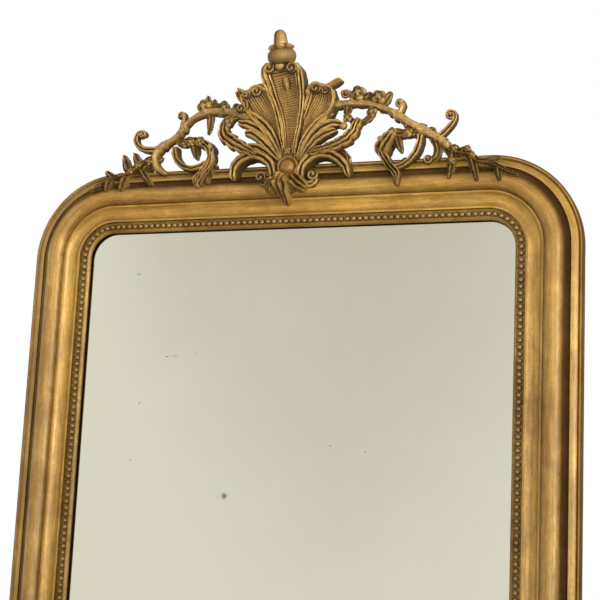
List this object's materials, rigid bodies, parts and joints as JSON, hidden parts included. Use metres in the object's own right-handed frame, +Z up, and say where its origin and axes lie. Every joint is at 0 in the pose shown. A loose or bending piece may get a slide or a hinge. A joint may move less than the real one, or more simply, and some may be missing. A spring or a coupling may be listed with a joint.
{
  "type": "gilt wall mirror",
  "caption": "Tall gilt wood wall mirror with rounded top corners, a bold torus moulding, a pearl row round the glass and a pierced shell crest; swinging D-rings on the back.",
  "frame": {"origin": "on the wall plane, the back face of the backboards, at the middle of the frame's width and of its height without the crest", "axes": "+Z up along the stiles, +X to the right as the viewer faces the mirror, +Y into the wall"},
  "size_m": [0.8, 0.1138, 1.4816],
  "materials": {
    "gilt": "water-gilt gesso on wood, rubbed and toned",
    "carved_gilt": "gilt carved ornament with dark toned recesses",
    "pine": "aged bare pine",
    "beech": "bare beech pegs",
    "mirror_glass": "aged silvered plate with a faint haze",
    "hanger_steel": "dull plated steel",
    "iron": "dark iron"
  },
  "bodies": {
    "mirror_frame": {"backboard_left": "pine", "backboard_middle": "pine", "backboard_nails": "iron", "backboard_right": "pine", "chassis_bottom_rail": "pine", "chassis_left_stile": "pine", "chassis_right_stile": "pine", "chassis_top_rail": "pine", "corner_pegs": "beech", "crest_batten": "pine", "crest_block": "pine", "crest_boss": "carved_gilt", "crest_branch_left": "carved_gilt", "crest_branch_right": "carved_gilt", "crest_finial": "carved_gilt", "crest_leaf_left": "carved_gilt", "crest_leaf_right": "carved_gilt", "crest_palmette": "carved_gilt", "crest_plume_left": "carved_gilt", "crest_plume_right": "carved_gilt", "crest_scroll_left": "carved_gilt", "crest_scroll_right": "carved_gilt", "crest_shell_centre": "carved_gilt", "crest_shell_left": "carved_gilt", "crest_shell_right": "carved_gilt", "crest_spray_left": "carved_gilt", "crest_spray_right": "carved_gilt", "crest_volute_left": "carved_gilt", "crest_volute_right": "carved_gilt", "glass_blocks": "pine", "hanger_strap_left": "hanger_steel", "hanger_strap_right": "hanger_steel", "inner_moulding_bottom": "gilt", "inner_moulding_corner_left": "gilt", "inner_moulding_corner_right": "gilt", "inner_moulding_left": "gilt", "inner_moulding_right": "gilt", "inner_moulding_top": "gilt", "mirror_plate": "mirror_glass", "outer_moulding_bottom": "gilt", "outer_moulding_corner_left": "gilt", "outer_moulding_corner_right": "gilt", "outer_moulding_left": "gilt", "outer_moulding_right": "gilt", "outer_moulding_top": "gilt", "pearl_strip_bottom": "gilt", "pearl_strip_corner_left": "gilt", "pearl_strip_corner_right": "gilt", "pearl_strip_left": "gilt", "pearl_strip_right": "gilt", "pearl_strip_top": "gilt", "sight_slip_bottom": "gilt", "sight_slip_corner_left": "gilt", "sight_slip_corner_right": "gilt", "sight_slip_left": "gilt", "sight_slip_right": "gilt", "sight_slip_top": "gilt", "wood_screws": "iron"},
    "hanger_ring_left": {"hanger_ring_left": "hanger_steel"},
    "hanger_ring_right": {"hanger_ring_right": "hanger_steel"}
  },
  "joints": [
    {"name": "hanger_ring_left_swing", "type": "hinge", "parent": "mirror_frame", "child": "hanger_ring_left", "pos_m": [-0.373, -0.00565, 0.33], "axis": [1, 0, 0], "range_deg": [0, 180]},
    {"name": "hanger_ring_right_swing", "type": "hinge", "parent": "mirror_frame", "child": "hanger_ring_right", "pos_m": [0.373, -0.00565, 0.33], "axis": [1, 0, 0], "range_deg": [0, 180]}
  ]
}
